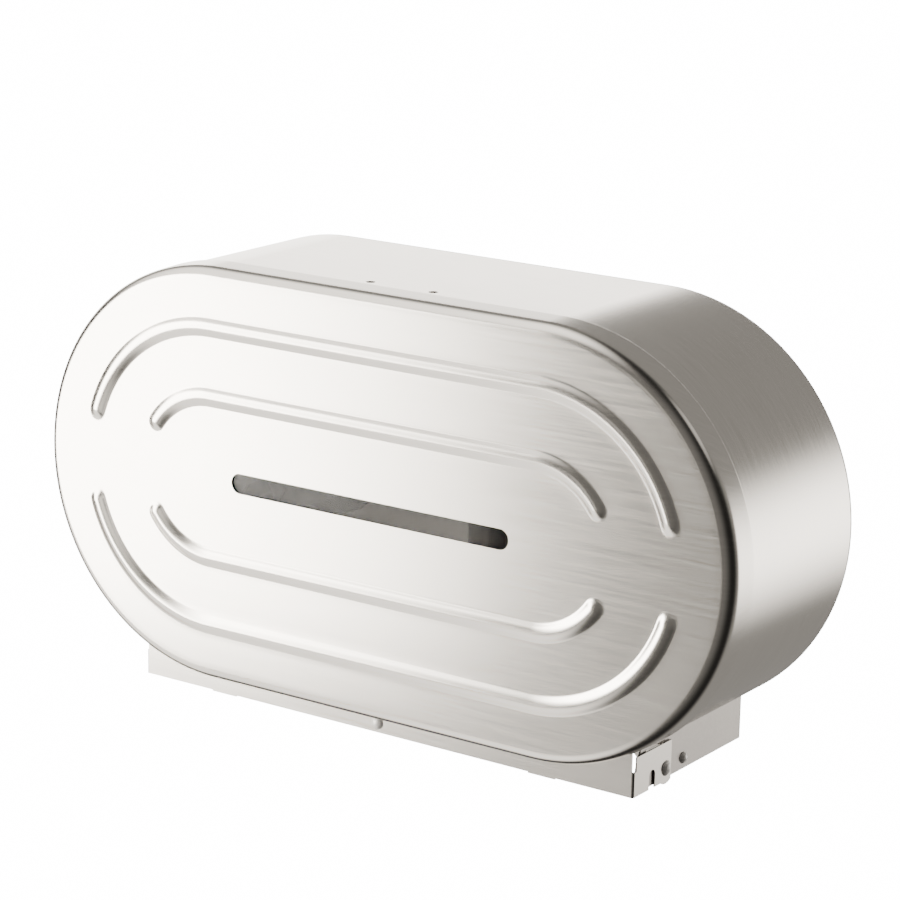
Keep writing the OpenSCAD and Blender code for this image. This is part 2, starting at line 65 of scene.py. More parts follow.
# ---- Sizes of the dispenser, in millimetres, as the CAD has them ----
MM = 0.001
ROLL_AXIS = 125.5
COVER_R = 138.5
DEPTH = 148.0
SKIRT = 24.5
EDGE_R = 8.0
DRAFT = 0.55
HEM_R = 0.8
COVER_SHEET = 0.9
BEAD_W = 13.0
BEAD_H = 2.3
# Power of the bead's section: 1 is a parabola, and more spreads its foot
BEAD_SHAPE = 1.35
BEAD_GAP = 24.3
OUTER_BEAD_R = 99.5
INNER_BEAD_R = 53.7
SLOT_R = 6.65
SLOT_AXIS = 100.55
BAND_R = 137.0
BAND_SHEET = 1.0
BAND_FRONT = 20.5
BACK_SHEET = 1.2
FRONT_LIP = 6.0
BACK_LIP = 10.0
PLATE_IN = 189.6
KEY_X = 24.0
KEY_BACK = 35.0
KEY_R = 3.0
WING_X = 192.0
WING_SHEET = 1.0
APRON_Y = -132.4
BOX_BOTTOM = -151.0
PIVOT_Y, PIVOT_Z = -94.1, -142.5
STOP_Y = -71.3
PLATE_OUT = PLATE_IN + BAND_SHEET
RIVET_HEAD_GAP = 0.1


# ---- Making node trees ----
def new_tree_material(name):
    """A material with an empty node tree."""
    material = bpy.data.materials.new(name)
    material.use_nodes = True
    tree = material.node_tree
    tree.nodes.clear()
    return material, tree


def put(tree, kind, settings=None, **sockets):
    """Adds a node, sets its properties and gives its input sockets a value or a link."""
    node = tree.nodes.new(kind)
    for key, value in (settings or {}).items():
        setattr(node, key, value)
    for key, value in sockets.items():
        name = key.replace("_", " ")
        socket = node.inputs[int(name[1:])] if name[1:].isdigit() else node.inputs[name]
        if isinstance(value, bpy.types.NodeSocket):
            tree.links.new(value, socket)
        else:
            socket.default_value = value
    return node


def new_group(name, kind, inputs, outputs):
    """A node group with named sockets: (name, type, default) each."""
    group = bpy.data.node_groups.new(name, kind)
    for way, rows in (("INPUT", inputs), ("OUTPUT", outputs)):
        for label, socket_type, *start in rows:
            made = group.interface.new_socket(label, in_out=way, socket_type=socket_type)
            if start and hasattr(made, "default_value"):
                made.default_value = start[0]
    return group, group.nodes.new("NodeGroupInput"), group.nodes.new("NodeGroupOutput")


def use_group(tree, group, **sockets):
    """Adds a node group and gives its input sockets a value or a link."""
    node = tree.nodes.new("ShaderNodeGroup")
    node.node_tree = group
    for key, value in sockets.items():
        socket = node.inputs[key.replace("_", " ")]
        if isinstance(value, bpy.types.NodeSocket):
            tree.links.new(value, socket)
        else:
            socket.default_value = value
    return node


def make_grain_group():
    """Fine straight lines of a belt finish, with their depth and tone broken up."""
    group, came, out = new_group(
        "Belt grain",
        "ShaderNodeTree",
        [
            ("Vector", "NodeSocketVector"),
            ("Stretch", "NodeSocketVector", (3.0, 420.0, 420.0)),
        ],
        [("Lines", "NodeSocketFloat"), ("Bands", "NodeSocketFloat"),
         ("Cloud", "NodeSocketFloat")],
    )
    drawn = put(group, "ShaderNodeVectorMath", {"operation": "MULTIPLY"},
                _0=came.outputs["Vector"], _1=came.outputs["Stretch"])
    fine = put(group, "ShaderNodeTexNoise", {"noise_dimensions": "3D"},
               Vector=drawn.outputs[0], Scale=5.0, Detail=2.0, Roughness=0.6)
    broad = put(group, "ShaderNodeTexNoise", {"noise_dimensions": "3D"},
                Vector=drawn.outputs[0], Scale=1.1, Detail=3.0, Roughness=0.6)
    cloud = put(group, "ShaderNodeTexNoise", {"noise_dimensions": "3D"},
                Vector=came.outputs["Vector"], Scale=9.0, Detail=3.0, Roughness=0.5)
    group.links.new(fine.outputs["Fac"], out.inputs["Lines"])
    group.links.new(broad.outputs["Fac"], out.inputs["Bands"])
    group.links.new(cloud.outputs["Fac"], out.inputs["Cloud"])
    return group


def remap(tree, value, low, high, start=0.3, end=0.7):
    """Spreads start to end over low to high. Noise mostly lies between 0.3 and 0.7."""
    return put(tree, "ShaderNodeMapRange", {"clamp": True},
               Value=value, From_Min=start, From_Max=end, To_Min=low, To_Max=high).outputs[0]


# Depth of the grain in millimetres, and how far the roughness strays from its middle
GRAIN_DEPTH = 0.0006
ROUGH_STRAY = 0.02
# Painted shade on a sheet's ends that are folded back, standing in for the darker reflection they
# show: the share of tone left there, and the blur of its border in metres
FOLDED_END_PAINTED_SHADE = 0.52
PAINTED_SHADE_BLUR = 0.001


def steel(name, pale, deep, stretch, rough, laid="sheet", metal=1.0, painted_shade_past=0.0):
    """Bare stainless: grain lines in tone, roughness and relief, and soft clouding.
    The grain lies along the flat sheet's own coordinates where a piece has them. Where a
    distance is given for it, painted shade darkens the colour beyond that distance from the
    sheet's middle, in metres, standing in for the dark reflection on folded ends."""
    material, tree = new_tree_material(name)
    if laid == "sheet":
        place = put(tree, "ShaderNodeAttribute", {"attribute_name": "sheet"}).outputs["Vector"]
    else:
        place = put(tree, "ShaderNodeTexCoord").outputs["Object"]
    grain = use_group(tree, GRAIN, Vector=place, Stretch=stretch)
    lines, bands, cloud = (grain.outputs[k] for k in ("Lines", "Bands", "Cloud"))
    streaks = put(tree, "ShaderNodeMath", {"operation": "ADD"},
                  _0=remap(tree, lines, 0.0, 0.45), _1=remap(tree, bands, 0.0, 0.30))
    mixed = put(tree, "ShaderNodeMath", {"operation": "ADD"},
                _0=streaks.outputs[0], _1=remap(tree, cloud, 0.0, 0.25))
    tone = put(tree, "ShaderNodeMix", {"data_type": "RGBA"}, Factor=mixed.outputs[0])
    tone.inputs[6].default_value = (*deep, 1.0)
    tone.inputs[7].default_value = (*pale, 1.0)
    colour = tone.outputs[2]
    # Painted shade: beyond the given distance the colour is darkened, standing in for the dark
    # surroundings that the folded ends reflect
    if painted_shade_past:
        parts = put(tree, "ShaderNodeSeparateXYZ", Vector=place)
        away = put(tree, "ShaderNodeMath", {"operation": "ABSOLUTE"}, _0=parts.outputs[0])
        share = remap(tree, away.outputs[0], 1.0, FOLDED_END_PAINTED_SHADE, painted_shade_past - PAINTED_SHADE_BLUR,
                      painted_shade_past + PAINTED_SHADE_BLUR)
        colour = put(tree, "ShaderNodeVectorMath", {"operation": "SCALE"},
                     _0=colour, Scale=share).outputs[0]
    relief = put(tree, "ShaderNodeBump", Strength=1.0, Distance=GRAIN_DEPTH * MM, Height=lines)
    skin = put(tree, "ShaderNodeBsdfPrincipled", Metallic=metal, Base_Color=colour,
               Roughness=remap(tree, bands, rough - ROUGH_STRAY, rough + ROUGH_STRAY),
               Normal=relief.outputs[0])
    put(tree, "ShaderNodeOutputMaterial", Surface=skin.outputs[0])
    return material


GRAIN = make_grain_group()
ALONG_X = (12.0, 420.0, 420.0)
EVEN = (120.0, 120.0, 120.0)
SATIN = ((0.85, 0.825, 0.785), (0.72, 0.695, 0.655), ALONG_X, 0.2)
satin = steel("satin_sheet", *SATIN)
satin_flat = steel("satin_plain", *SATIN, laid="Object")
# Painted shade: past their bends, the apron's wings are darkened in colour to stand in for the
# dark reflection they show
satin_with_painted_wing_shade = steel("apron_sheet", *SATIN, painted_shade_past=0.1915)
mill = steel("mill_sheet", (0.92, 0.90, 0.87), (0.84, 0.82, 0.80), EVEN, 0.50, laid="Object")
# Painted shade: this steel's colour is darkened far below the other sheets, standing in for the
# shade and dark reflections on the side plates and the centre channel
painted_shade_steel = steel("plain_sheet", (0.31, 0.295, 0.28), (0.25, 0.24, 0.23), EVEN, 0.32,
              laid="Object")
bright = steel("turned_steel", (0.80, 0.785, 0.76), (0.70, 0.69, 0.67), EVEN, 0.22,
               laid="Object")
spring = steel("spring_strip", (0.60, 0.61, 0.63), (0.48, 0.49, 0.51), ALONG_X, 0.3,
               laid="Object")


def moulded_plastic(name, pale, deep, rough):
    """Plain plastic with a fine moulded texture and soft clouding."""
    material, tree = new_tree_material(name)
    place = put(tree, "ShaderNodeTexCoord")
    fine = put(tree, "ShaderNodeTexNoise", Vector=place.outputs["Object"], Scale=900.0,
               Detail=2.0)
    soft = put(tree, "ShaderNodeTexNoise", Vector=place.outputs["Object"], Scale=25.0,
               Detail=3.0)
    tone = put(tree, "ShaderNodeMix", {"data_type": "RGBA"},
               Factor=remap(tree, soft.outputs["Fac"], 0.0, 1.0))
    tone.inputs[6].default_value = (*deep, 1.0)
    tone.inputs[7].default_value = (*pale, 1.0)
    relief = put(tree, "ShaderNodeBump", Strength=0.5, Distance=0.05 * MM,
                 Height=fine.outputs["Fac"])
    skin = put(tree, "ShaderNodeBsdfPrincipled", Base_Color=tone.outputs[2],
               Roughness=remap(tree, soft.outputs["Fac"], rough - 0.05, rough + 0.05),
               Normal=relief.outputs[0])
    put(tree, "ShaderNodeOutputMaterial", Surface=skin.outputs[0])
    return material


def smoky_plastic(name):
    """Clear plastic tinted grey, with a slight haze."""
    material, tree = new_tree_material(name)
    place = put(tree, "ShaderNodeTexCoord")
    haze = put(tree, "ShaderNodeTexNoise", Vector=place.outputs["Object"], Scale=30.0,
               Detail=3.0)
    tone = put(tree, "ShaderNodeMix", {"data_type": "RGBA"},
               Factor=remap(tree, haze.outputs["Fac"], 0.0, 1.0))
    tone.inputs[6].default_value = (0.57, 0.57, 0.57, 1.0)
    tone.inputs[7].default_value = (0.61, 0.61, 0.61, 1.0)
    skin = put(tree, "ShaderNodeBsdfPrincipled", Base_Color=tone.outputs[2],
               Transmission_Weight=1.0, IOR=1.25, Metallic=0.0, Specular_IOR_Level=0.15,
               Roughness=remap(tree, haze.outputs["Fac"], 0.05, 0.12))
    put(tree, "ShaderNodeOutputMaterial", Surface=skin.outputs[0])
    return material


black = moulded_plastic("moulded_hub", (0.045, 0.045, 0.048), (0.03, 0.03, 0.033), 0.5)
lens = smoky_plastic("smoky_lens")
set_steel = steel("set_rivet", (0.93, 0.92, 0.90), (0.86, 0.85, 0.83), EVEN, 0.45,
                  laid="Object", metal=0.3)

FINISH = {
    "satin_steel": satin_flat,
    "mill_steel": mill,
    "bright_steel": bright,
    "spring_steel": spring,
    "smoky_lens": lens,
    "dark_plastic": black,
}
SLOT_OF = {part["node"]: part["material_slot"] for part in frame["record"]["subparts"]}
BODY_OF = {
    node: body
    for node in SLOT_OF
    for body, empty in frame["bodies"].items()
    if nodes[node].parent == empty
}
for node, slot_name in SLOT_OF.items():
    nodes[node].data.materials.clear()
    nodes[node].data.materials.append(FINISH[slot_name])


# ---- Making meshes ----
def mesh_object(name, points, faces, material, body, replaced=(), sharp=35.0):
    """Points in millimetres become a piece that rides on a body."""
    mesh = bpy.data.meshes.new(name)
    mesh.from_pydata([tuple(c * MM for c in p) for p in points], [], faces)
    return finish_piece(name, mesh, material, body, replaced, sharp)


def finish_piece(name, mesh, material, body, replaced=(), sharp=35.0):
    """Makes a mesh into a shaded piece that rides on a body."""
    mesh.polygons.foreach_set("use_smooth", [True] * len(mesh.polygons))
    mesh.set_sharp_from_angle(angle=math.radians(sharp))
    if not mesh.materials:
        mesh.materials.append(material)
    mesh.update()
    piece = bpy.data.objects.new(name, mesh)
    bpy.context.scene.collection.objects.link(piece)
    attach(piece, body)
    if replaced:
        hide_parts(*replaced)
    return piece


def lay_sheet(piece, flat):
    """Keeps where each point lay on the flat sheet, in metres, for the grain."""
    kept = piece.data.attributes.new("sheet", "FLOAT_VECTOR", "POINT")
    values = np.zeros((len(flat), 3), np.float32)
    values[:, :2] = np.array(flat, float)[:, :2] * MM
    kept.data.foreach_set("vector", values.ravel())


def ring_points(axis_x, r, arc_steps, straight_steps):
    """Points once round a stadium: right end, underside, left end, top."""
    found = []
    for side in (1, -1):
        for i in range(arc_steps):
            turn = math.radians(90.0 - 180.0 * i / arc_steps)
            found.append((side * (axis_x + r * math.cos(turn)), side * r * math.sin(turn)))
        for i in range(straight_steps):
            across = axis_x * (1.0 - 2.0 * i / straight_steps)
            found.append((side * across, -side * r))
    return found


def bead_rise(x, z, bead_r):
    """Height of a C-shaped bead pressed round the roll axes."""
    end_rise = BEAD_GAP + BEAD_W / 2
    past = abs(x) - ROLL_AXIS
    up = abs(z)
    if past <= 0:
        away = abs(up - bead_r)
    elif math.atan2(up, past) >= math.asin(end_rise / bead_r):
        away = abs(math.hypot(past, up) - bead_r)
    else:
        end_past = math.sqrt(bead_r ** 2 - end_rise ** 2)
        away = math.hypot(past - end_past, up - end_rise)
    share = away / (BEAD_W / 2)
    return BEAD_H * (1.0 - share * share) ** BEAD_SHAPE if share < 1 else 0.0


def stepped(start, end, steps):
    """Even steps from start, up to but without end."""
    return [start + (end - start) * i / steps for i in range(steps)]


def make_cover_pan():
    """The pressed cover, as rows round a stadium: a curled rear edge, a drafted skirt, a
    rounded rim, a face with beads, and the window slot."""
    arc_steps, straight_steps = 150, 20
    hem_steps, hem_turn, rim_steps = 6, 75.0, 12
    back = -DEPTH + SKIRT
    rows = []
    for i in range(hem_steps):
        turn = math.radians(hem_turn * (1 - i / (hem_steps - 1)))
        rows.append((ROLL_AXIS, COVER_R - HEM_R + HEM_R * math.cos(turn),
                     back - HEM_R + HEM_R * math.sin(turn)))
    rows += [(ROLL_AXIS, COVER_R - DRAFT * i / 5, y)
             for i, y in enumerate(stepped(back - HEM_R - 0.3, -DEPTH + EDGE_R, 5))]
    for i in range(rim_steps + 1):
        turn = math.radians(90.0 * i / rim_steps)
        rows.append((ROLL_AXIS, COVER_R - DRAFT - EDGE_R + EDGE_R * math.cos(turn),
                     -DEPTH + EDGE_R - EDGE_R * math.sin(turn)))
    beside = 7
    face_r = stepped(COVER_R - DRAFT - EDGE_R - 4, OUTER_BEAD_R + beside, 5)
    face_r += stepped(OUTER_BEAD_R + beside, OUTER_BEAD_R - beside, 18)
    face_r += stepped(OUTER_BEAD_R - beside, INNER_BEAD_R + beside, 7)
    face_r += stepped(INNER_BEAD_R + beside, INNER_BEAD_R - beside, 18)
    rows += [(ROLL_AXIS, r, -DEPTH) for r in face_r]
    for i in range(9):
        share = i / 8
        r = (INNER_BEAD_R - beside) * (1 - share) + (SLOT_R + 1) * share
        rows.append((ROLL_AXIS * (1 - share) + SLOT_AXIS * share, r, -DEPTH))
    rows[-1] = (SLOT_AXIS, SLOT_R, -DEPTH)
    points, faces, laid = [], [], []
    flat_rows = [rows[-1][1]]
    for inner, outer in zip(rows[:0:-1], rows[-2::-1]):
        flat_rows.append(flat_rows[-1] + math.hypot(outer[1] - inner[1], outer[2] - inner[2]))
    for (axis_x, r, y), flat_r in zip(rows, reversed(flat_rows)):
        laid += ring_points(axis_x, flat_r, arc_steps, straight_steps)
        for x, z in ring_points(axis_x, r, arc_steps, straight_steps):
            rise = 0.0
            if y == -DEPTH:
                rise = bead_rise(x, z, OUTER_BEAD_R) + bead_rise(x, z, INNER_BEAD_R)
            points.append((x, y - rise, z))
    count = 2 * (arc_steps + straight_steps)
    for row in range(len(rows) - 1):
        for i in range(count):
            j = (i + 1) % count
            a, b = row * count, (row + 1) * count
            faces.append((a + i, b + i, b + j, a + j))
    pan = mesh_object("cover_pan", points, faces, satin, "cover",
                      ["front_panel"], sharp=50.0)
    lay_sheet(pan, laid)
    give_thickness(pan, COVER_SHEET, 0, sharp=60.0)


# ---- Sheet pieces cut flat and folded ----
def arc(centre, r, start, end, steps):
    """Points along an arc, its angles in degrees."""
    return [(centre[0] + r * math.cos(math.radians(start + (end - start) * i / steps)),
             centre[1] + r * math.sin(math.radians(start + (end - start) * i / steps)))
            for i in range(steps + 1)]


def inside(loop, point):
    """Whether a point lies within a closed loop."""
    odd = False
    for (x1, y1), (x2, y2) in zip(loop, loop[1:] + loop[:1]):
        if (y1 > point[1]) != (y2 > point[1]):
            if point[0] < (x2 - x1) * (point[1] - y1) / (y2 - y1) + x1:
                odd = not odd
    return odd


def flat_blank(outline, holes, across=(), along=()):
    """A flat sheet with holes, its mesh cut at the given u and w so that it can be folded."""
    corners, edges = [], []
    for loop in [outline] + holes:
        first = len(corners)
        corners += [Vector(c) for c in loop]
        edges += [(first + i, first + (i + 1) % len(loop)) for i in range(len(loop))]
    filled = delaunay_2d_cdt(corners, edges, [], 1, 1e-5)
    sheet = bmesh.new()
    spots = [sheet.verts.new((c.x, c.y, 0)) for c in filled[0]]
    for face in filled[2]:
        middle = sum((filled[0][i] for i in face), Vector((0, 0))) / len(face)
        if not any(inside(hole, middle) for hole in holes):
            sheet.faces.new([spots[i] for i in face])
    for place, way in [((u, 0, 0), (1, 0, 0)) for u in across] + [
            ((0, w, 0), (0, 1, 0)) for w in along]:
        everything = sheet.verts[:] + sheet.edges[:] + sheet.faces[:]
        bmesh.ops.bisect_plane(sheet, geom=everything, plane_co=place, plane_no=way)
    bmesh.ops.remove_doubles(sheet, verts=sheet.verts[:], dist=1e-4)
    bmesh.ops.delete(sheet, geom=[v for v in sheet.verts if not v.link_faces], context="VERTS")
    return sheet


def folded_piece(name, sheet, fold, facing, thickness, material, body, replaced=(),
                 edge=0.12):
    """Folds a flat blank: fold gives each (u, w) its place. facing is the way its skin mostly
    looks; the sheet's thickness goes behind it. The flat places stay for the grain."""
    laid = sheet.verts.layers.float_vector.new("sheet")
    for v in sheet.verts:
        v[laid] = (v.co.x * MM, v.co.y * MM, 0)
        v.co = Vector(fold(v.co.x, v.co.y)) * MM
    sheet.normal_update()
    if sum(f.calc_area() * f.normal.dot(Vector(facing)) for f in sheet.faces) < 0:
        bmesh.ops.reverse_faces(sheet, faces=sheet.faces[:])
    bmesh.ops.dissolve_limit(sheet, angle_limit=math.radians(0.4), verts=sheet.verts[:],
                             edges=sheet.edges[:])
    mesh = bpy.data.meshes.new(name)
    sheet.to_mesh(mesh)
    sheet.free()
    piece = finish_piece(name, mesh, material, body, replaced)
    give_thickness(piece, thickness, edge)
    return piece


def give_thickness(piece, thickness, edge, sharp=40.0):
    """Turns a skin into sheet metal behind it, with crisp cut edges eased a little."""
    wall = piece.modifiers.new("sheet", "SOLIDIFY")
    wall.thickness = thickness * MM
    wall.offset = -1.0
    wall.use_even_offset = True
    seen = piece.evaluated_get(bpy.context.evaluated_depsgraph_get())
    solid = bpy.data.meshes.new_from_object(seen)
    piece.modifiers.clear()
    skin, piece.data = piece.data, solid
    bpy.data.meshes.remove(skin)
    solid.name = piece.name
    solid.set_sharp_from_angle(angle=math.radians(sharp))
    if edge:
        ease_edges(piece, edge, 50.0)
    else:
        flatten_shading(piece)


def ease_edges(piece, width, angle):
    eased = piece.modifiers.new("eased_edge", "BEVEL")
    eased.width = width * MM
    eased.segments = 2
    eased.limit_method = "ANGLE"
    eased.angle_limit = math.radians(angle)
    flatten_shading(piece)


def flatten_shading(piece):
    """Keeps flat faces flat beside their small bends."""
    even = piece.modifiers.new("flat_faces", "WEIGHTED_NORMAL")
    even.mode = "FACE_AREA"
    even.keep_sharp = True


def square_bend(distance, r):
    """How far a strip reaches along and back, at a distance past the start of a square bend."""
    if distance <= 0:
        return distance, 0.0
    turn = min(distance / r, math.pi / 2)
    past = max(distance - r * math.pi / 2, 0.0)
    return r * math.sin(turn), r * (1 - math.cos(turn)) + past


def band_height(x, r):
    """z of the underside of a round end of radius r at a given x."""
    return -math.sqrt(r * r - (abs(x) - ROLL_AXIS) ** 2)


APRON_RIVET_Z = BOX_BOTTOM + 6.6
BEND_R = 1.5
BEND_ARC = BEND_R * math.pi / 2


def fold_wings(u, w):
    """The apron's blank: flat in front, then round the bends and back along the wings."""
    side, far = (1 if u > 0 else -1), abs(u)
    flat_end = WING_X - BEND_R
    out, back = square_bend(far - flat_end, BEND_R)
    return (side * (flat_end + out), APRON_Y + back, w)


def make_apron():
    """The lower front sheet with its two wings, cut as one blank, and the ledge above it."""
    flat_end = WING_X - BEND_R
    shift = flat_end + BEND_ARC - (APRON_Y + BEND_R)
    wing_drop = 4.9
    wing_top = band_height(PLATE_OUT, BAND_R) - wing_drop
    wing_front = APRON_Y + 3.3
    relief_top = BOX_BOTTOM + 16.4
    heel_r = 10.3
    rear = PIVOT_Y + 6.0
    notch_y, notch_top, notch_r = PIVOT_Y - 16.4, BOX_BOTTOM + 8.7, 3.5
    tab, tab_bottom = 10.0, BOX_BOTTOM - 0.8
    pivot_hole_r, rivet_hole_r = 3.05, 2.5
    half = [(0.0, BOX_BOTTOM), (ROLL_AXIS - tab, BOX_BOTTOM), (ROLL_AXIS - tab, tab_bottom),
            (ROLL_AXIS + tab, tab_bottom), (ROLL_AXIS + tab, BOX_BOTTOM),
            (flat_end + 0.05, BOX_BOTTOM), (shift + notch_y - notch_r, BOX_BOTTOM)]
    half += [(shift + y, z) for y, z in arc((notch_y, notch_top), notch_r, 180, 0, 12)]
    half += [(shift + notch_y + notch_r, BOX_BOTTOM)]
    low_turn = 180 + math.degrees(math.asin((PIVOT_Z - BOX_BOTTOM) / heel_r))
    end_turn = 360 - math.degrees(math.acos((rear - PIVOT_Y) / heel_r))
    half += [(shift + y, z) for y, z in arc((PIVOT_Y, PIVOT_Z), heel_r, low_turn, end_turn, 18)]
    half += [(shift + rear, wing_top), (shift + wing_front, wing_top),
             (shift + wing_front, relief_top), (flat_end, relief_top)]
    end = math.degrees(math.acos((flat_end - ROLL_AXIS) / COVER_R))
    top = arc((ROLL_AXIS, 0.0), COVER_R, -end, -90.0, 30)
    right = half + top
    outline = right + [(-u, w) for u, w in reversed(right) if u > 0]
    pivots = [arc((side * (shift + PIVOT_Y), PIVOT_Z), pivot_hole_r, 0, 345, 23)
              for side in (-1, 1)]
    rivet_hole = arc((0.0, APRON_RIVET_Z), rivet_hole_r, 0, 345, 23)
    steps = [flat_end - 0.4] + [flat_end + BEND_ARC * i / 6 for i in range(7)]
    steps += [flat_end + BEND_ARC + 0.4]
    blank = flat_blank(outline, pivots + [rivet_hole],
                       [side * u for u in steps for side in (-1, 1)])
    folded_piece("apron_and_wings", blank, fold_wings, (0, -1, 0), WING_SHEET, satin_with_painted_wing_shade,
                 "cover", ["apron"])
    ledge_w = 7.9
    ledge = flat_blank([(-ROLL_AXIS, 0.0), (ROLL_AXIS, 0.0), (ROLL_AXIS, ledge_w),
                        (-ROLL_AXIS, ledge_w)], [])
    folded_piece("apron_ledge", ledge, lambda u, w: (u, APRON_Y + WING_SHEET + w, -COVER_R),
                 (0, 0, 1), WING_SHEET, satin, "cover")


BAND_EDGE = 0.6
BAND_TURN = BAND_EDGE * math.pi / 2
FRONT_FLAT = FRONT_LIP + BAND_SHEET - BAND_EDGE
WALL_FLAT = DEPTH - BAND_FRONT - BACK_SHEET - 2 * BAND_EDGE
WALL_START = FRONT_FLAT + BAND_TURN
WALL_END = WALL_START + WALL_FLAT
BACK_START = WALL_END + BAND_TURN
BAND_END = BACK_START + BACK_LIP + BAND_SHEET - BAND_EDGE


def band_section(w):
    """Radius and depth of the wrap's outer skin at a distance w from its front edge."""
    front, back = -DEPTH + BAND_FRONT, -BACK_SHEET
    if w < FRONT_FLAT:
        return BAND_R - BAND_EDGE - FRONT_FLAT + w, front
    if w < WALL_START:
        turn = (w - FRONT_FLAT) / BAND_EDGE
        return (BAND_R - BAND_EDGE + BAND_EDGE * math.sin(turn),
                front + BAND_EDGE - BAND_EDGE * math.cos(turn))
    if w <= WALL_END:
        return BAND_R, front + BAND_EDGE + w - WALL_START
    if w < BACK_START:
        turn = (w - WALL_END) / BAND_EDGE
        return (BAND_R - BAND_EDGE + BAND_EDGE * math.cos(turn),
                back - BAND_EDGE + BAND_EDGE * math.sin(turn))
    return BAND_R - BAND_EDGE - (w - BACK_START), back


def fold_band(u, w):
    """The wrap's blank: straight over the top, then round the two ends."""
    r, y = band_section(w)
    if abs(u) <= ROLL_AXIS:
        return (u, y, r)
    turn = (abs(u) - ROLL_AXIS) / BAND_R
    return (math.copysign(ROLL_AXIS + r * math.sin(turn), u), y, r * math.cos(turn))


def make_band():
    """The case's wrap: a wall with an inward lip in front and behind, open between the plates."""
    def foot(w):
        r = band_section(w)[0]
        return ROLL_AXIS + BAND_R * (math.pi / 2 + math.acos((PLATE_IN - ROLL_AXIS) / r))

    rows = [0.0, FRONT_FLAT / 2] + [FRONT_FLAT + BAND_TURN * i / 3 for i in range(4)]
    rows += [WALL_END + BAND_TURN * i / 3 for i in range(4)] + [(BACK_START + BAND_END) / 2]
    rows += [BAND_END]
    notch = 38.0
    right = [(notch, FRONT_FLAT - 0.01), (notch, 0.0)] + [(foot(w), w) for w in rows]
    outline = right + [(-u, w) for u, w in reversed(right)]
    key_w = WALL_START + KEY_BACK - BAND_FRONT - BAND_EDGE
    holes = [arc((side * KEY_X, key_w), KEY_R, 0, 348, 30) for side in (-1, 1)]
    furthest = foot(WALL_START)
    steps = stepped(ROLL_AXIS, furthest, 88)
    blank = flat_blank(outline, holes, [side * u for u in steps for side in (-1, 1)], rows[1:-1])
    folded_piece("wrap", blank, fold_band, (0, 0, 1), BAND_SHEET, satin, "housing",
                 ["rim_band"], edge=0)


# ---- CAD meshes with their edges eased ----
def eased_copy(node, material, width):
    """A welded copy of a CAD piece with small rounded edges."""
    source = nodes[node]
    work = bmesh.new()
    work.from_mesh(source.data)
    bmesh.ops.remove_doubles(work, verts=work.verts[:], dist=2e-6)
    bmesh.ops.dissolve_limit(work, angle_limit=math.radians(0.3), verts=work.verts[:],
                             edges=work.edges[:])
    mesh = bpy.data.meshes.new(node + "_eased")
    work.to_mesh(mesh)
    work.free()
    mesh.transform(source.matrix_world)
    mesh.materials.clear()
    piece = finish_piece(node + "_eased", mesh, material, BODY_OF[node], [node])
    ease_edges(piece, width, 35.0)


# ---- Strips bent along a section ----
def walk(points, r, steps=5):
    """A bent section: its corners rounded. Gives the places of cuts and a function from the
    distance along it to the point there."""
    line = [Vector(points[0])]
    for before, corner, after in zip(points, points[1:], points[2:]):
        corner = Vector(corner)
        come, leave = (corner - Vector(before)).normalized(), (Vector(after) - corner).normalized()
        turn = come.angle_signed(leave)
        reach = r * abs(math.tan(turn / 2))
        start = corner - come * reach
        normal = Vector((-come.y, come.x)) * (1 if turn < 0 else -1)
        for i in range(steps + 1):
            part = abs(turn) * i / steps
            line.append(start + come * (r * math.sin(part)) + normal * (r * (1 - math.cos(part))))
    line.append(Vector(points[-1]))
    reached = [0.0]
    for one, two in zip(line, line[1:]):
        reached.append(reached[-1] + (two - one).length)

    def place(w):
        for i in range(len(line) - 1):
            if w <= reached[i + 1] + 1e-6 or i == len(line) - 2:
                share = (w - reached[i]) / max(reached[i + 1] - reached[i], 1e-9)
                return line[i] + (line[i + 1] - line[i]) * share

    return reached, place


def bent_strip(name, points, r, ends, thickness, along, material, node, facing, holes=()):
    """A strip bent along a section of (a, b) points and straight across it, between its two
    ends. along says which way the bends run: "x" takes sections in (y, z), "z" in (x, y)."""
    reached, place = walk(points, r)
    start, end = ends
    outline = [(start, 0.0), (end, 0.0), (end, reached[-1]), (start, reached[-1])]
    blank = flat_blank(outline, list(holes), [], reached[1:-1])

    def fold(u, w):
        a, b = place(w)
        return (u, a, b) if along == "x" else (a, b, u)

    folded_piece(name, blank, fold, facing, thickness, material, BODY_OF[node],
                 [node])


# ---- Turned pieces ----
def round_loop(corners):
    """Corners are (radius from the axis, distance out, fillet); gives the rounded loop."""
    found = []
    count = len(corners)
    for i, (r, out, fillet) in enumerate(corners):
        here = Vector((r, out))
        if fillet <= 0:
            found.append(here)
            continue
        before = (Vector(corners[i - 1][:2]) - here).normalized()
        after = (Vector(corners[(i + 1) % count][:2]) - here).normalized()
        half_turn = before.angle(after) / 2
        reach = fillet / math.tan(half_turn)
        centre = here + (before + after).normalized() * (fillet / math.sin(half_turn))
        start, end = here + before * reach - centre, here + after * reach - centre
        sweep = start.angle_signed(end)
        for k in range(5):
            part = sweep * k / 4
            cos, sin = math.cos(-part), math.sin(-part)
            found.append(centre + Vector((start.x * cos - start.y * sin,
                                          start.x * sin + start.y * cos)))
    return found


